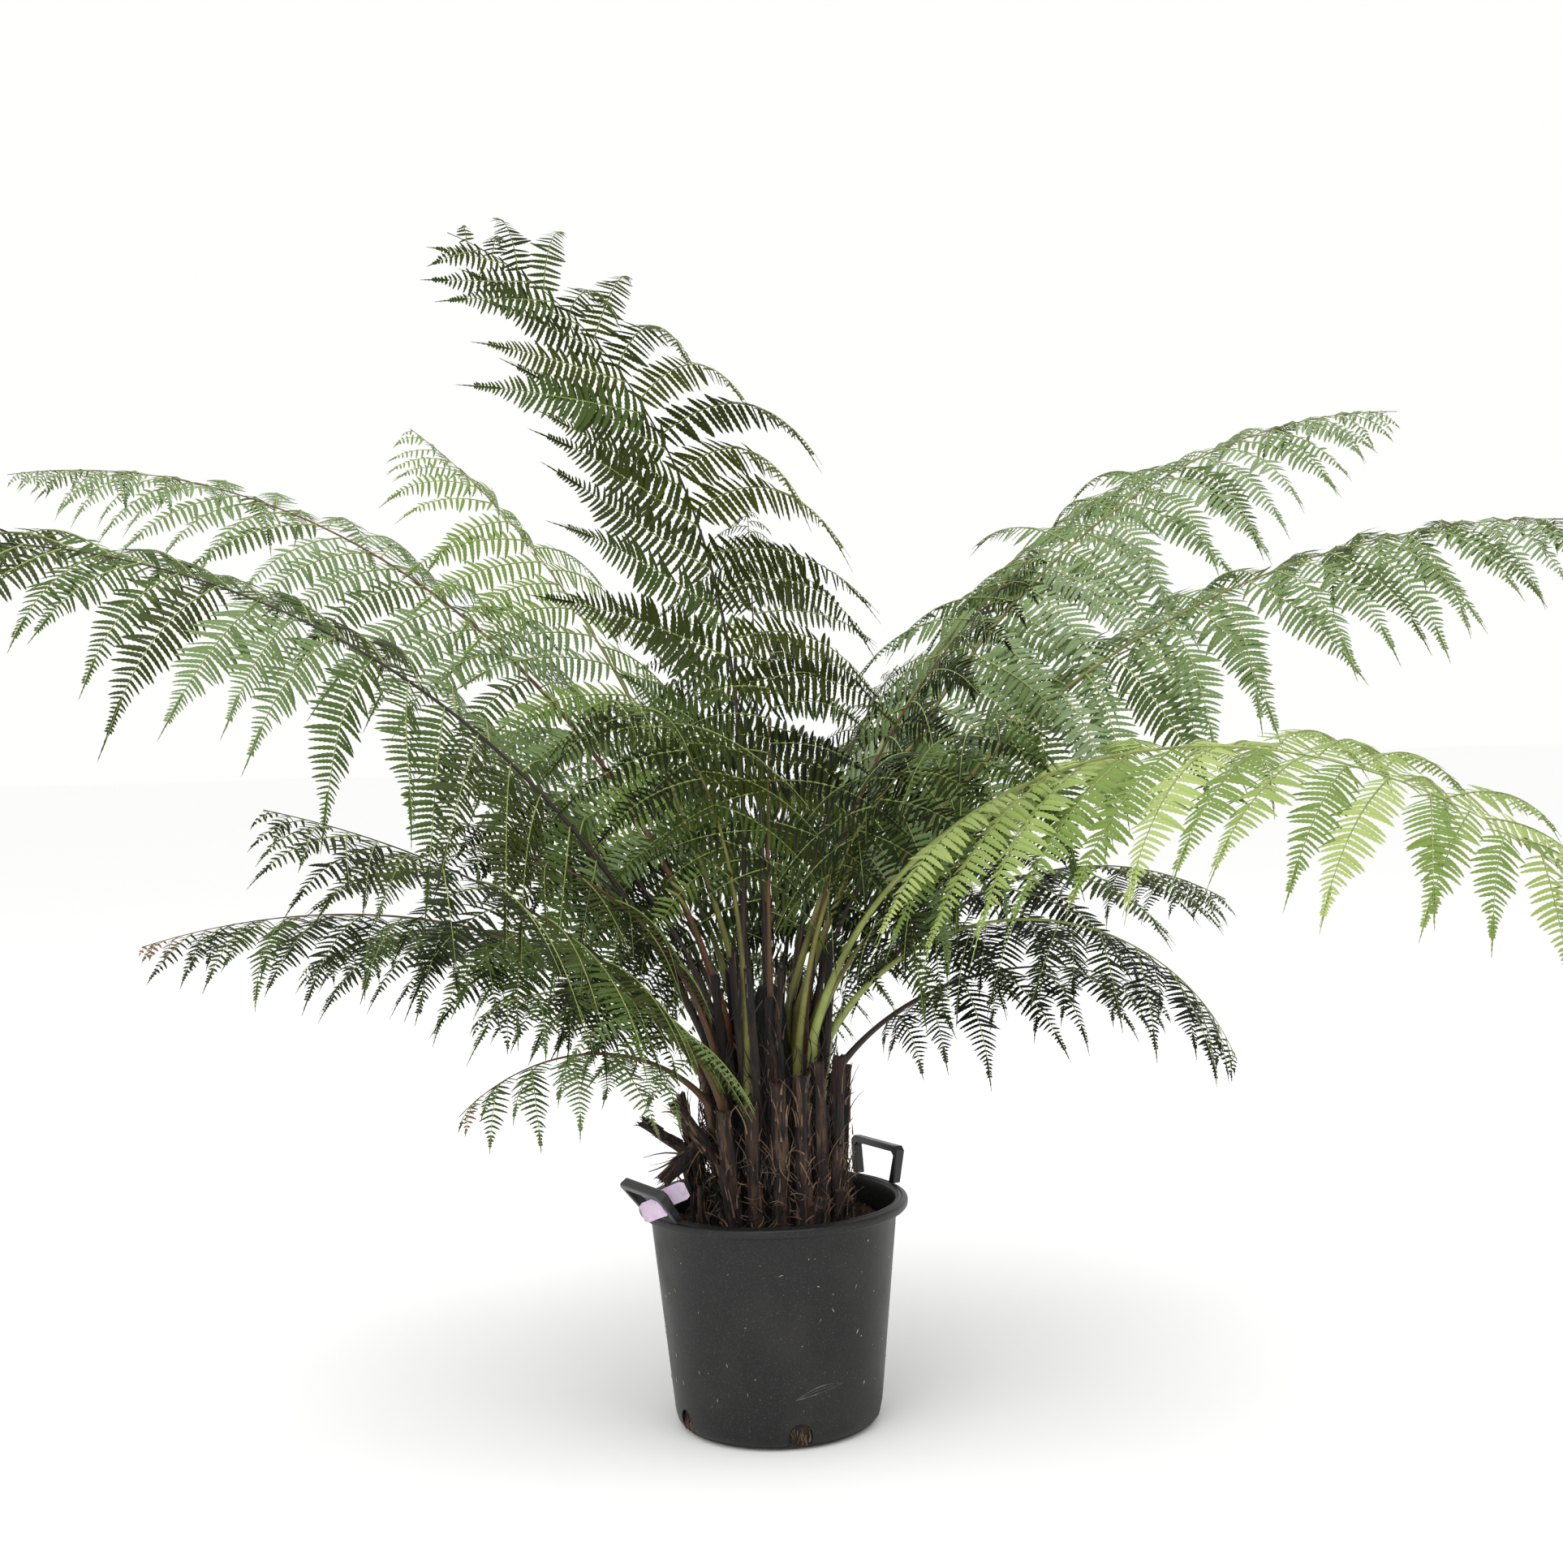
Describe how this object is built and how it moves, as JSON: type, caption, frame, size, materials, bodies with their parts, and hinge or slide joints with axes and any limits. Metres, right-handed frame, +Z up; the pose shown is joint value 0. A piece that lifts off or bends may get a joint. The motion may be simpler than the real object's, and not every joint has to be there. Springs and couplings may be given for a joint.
{
  "type": "potted tree fern",
  "caption": "Young tree fern with a short fibrous trunk, cut leaf stubs and long arching divided fronds, in a round black nursery pot with two grips.",
  "frame": {"origin": "centre of the pot's flat underside", "axes": "+Z up along the pot's axis, +X to the right and +Y to the back as seen from the front"},
  "size_m": [2.7579, 1.8456, 1.7923],
  "materials": {
    "pot": "black moulded plastic, dull, dusty, lightly scuffed",
    "tag": "pale lilac plastic tag, blank, smooth",
    "soil": "dark damp potting soil with bark crumbs and fibres",
    "trunk": "dark brown matted fibre",
    "stub": "reddish brown cut leaf stalks with shredded tan fibre",
    "frond": "green divided leaf, soft sheen, paler ribs"
  },
  "bodies": {
    "root": {"pot": "pot", "soil": "soil", "grip_left": "pot", "grip_right": "pot", "tag": "tag", "trunk": "trunk", "stub_01": "stub", "stub_02": "stub", "stub_03": "stub", "stub_04": "stub", "stub_05": "stub", "stub_06": "stub", "stub_07": "stub", "stub_08": "stub", "stub_09": "stub", "stub_10": "stub", "stub_11": "stub", "stub_12": "stub", "stub_13": "stub", "stub_14": "stub", "stub_15": "stub", "stub_16": "stub", "frond_back_corner_lower": "frond", "frond_back_corner_upper": "frond", "frond_back_left_lower": "frond", "frond_back_left_upper": "frond", "frond_back_low": "frond", "frond_back_right_lower": "frond", "frond_back_right_upper": "frond", "frond_back_upright_lower": "frond", "frond_back_upright_upper": "frond", "frond_back_wide_lower": "frond", "frond_back_wide_upper": "frond", "frond_front_left": "frond", "frond_front_right": "frond", "frond_inner_left": "frond", "frond_left_back_lower": "frond", "frond_left_back_upper": "frond", "frond_left_front_lower": "frond", "frond_left_front_upper": "frond", "frond_left_low_lower": "frond", "frond_left_low_upper": "frond", "frond_left_lowest_lower": "frond", "frond_left_lowest_upper": "frond", "frond_right_back_lower": "frond", "frond_right_back_upper": "frond", "frond_right_front_lower": "frond", "frond_right_front_upper": "frond", "frond_right_low_lower": "frond", "frond_right_low_upper": "frond", "frond_right_mid_lower": "frond", "frond_right_mid_upper": "frond", "frond_right_upper_lower": "frond", "frond_right_upper_upper": "frond", "frond_side_left": "frond", "frond_side_right": "frond", "frond_snapped": "frond", "frond_tall_lower": "frond", "frond_tall_upper": "frond"}
  },
  "joints": []
}
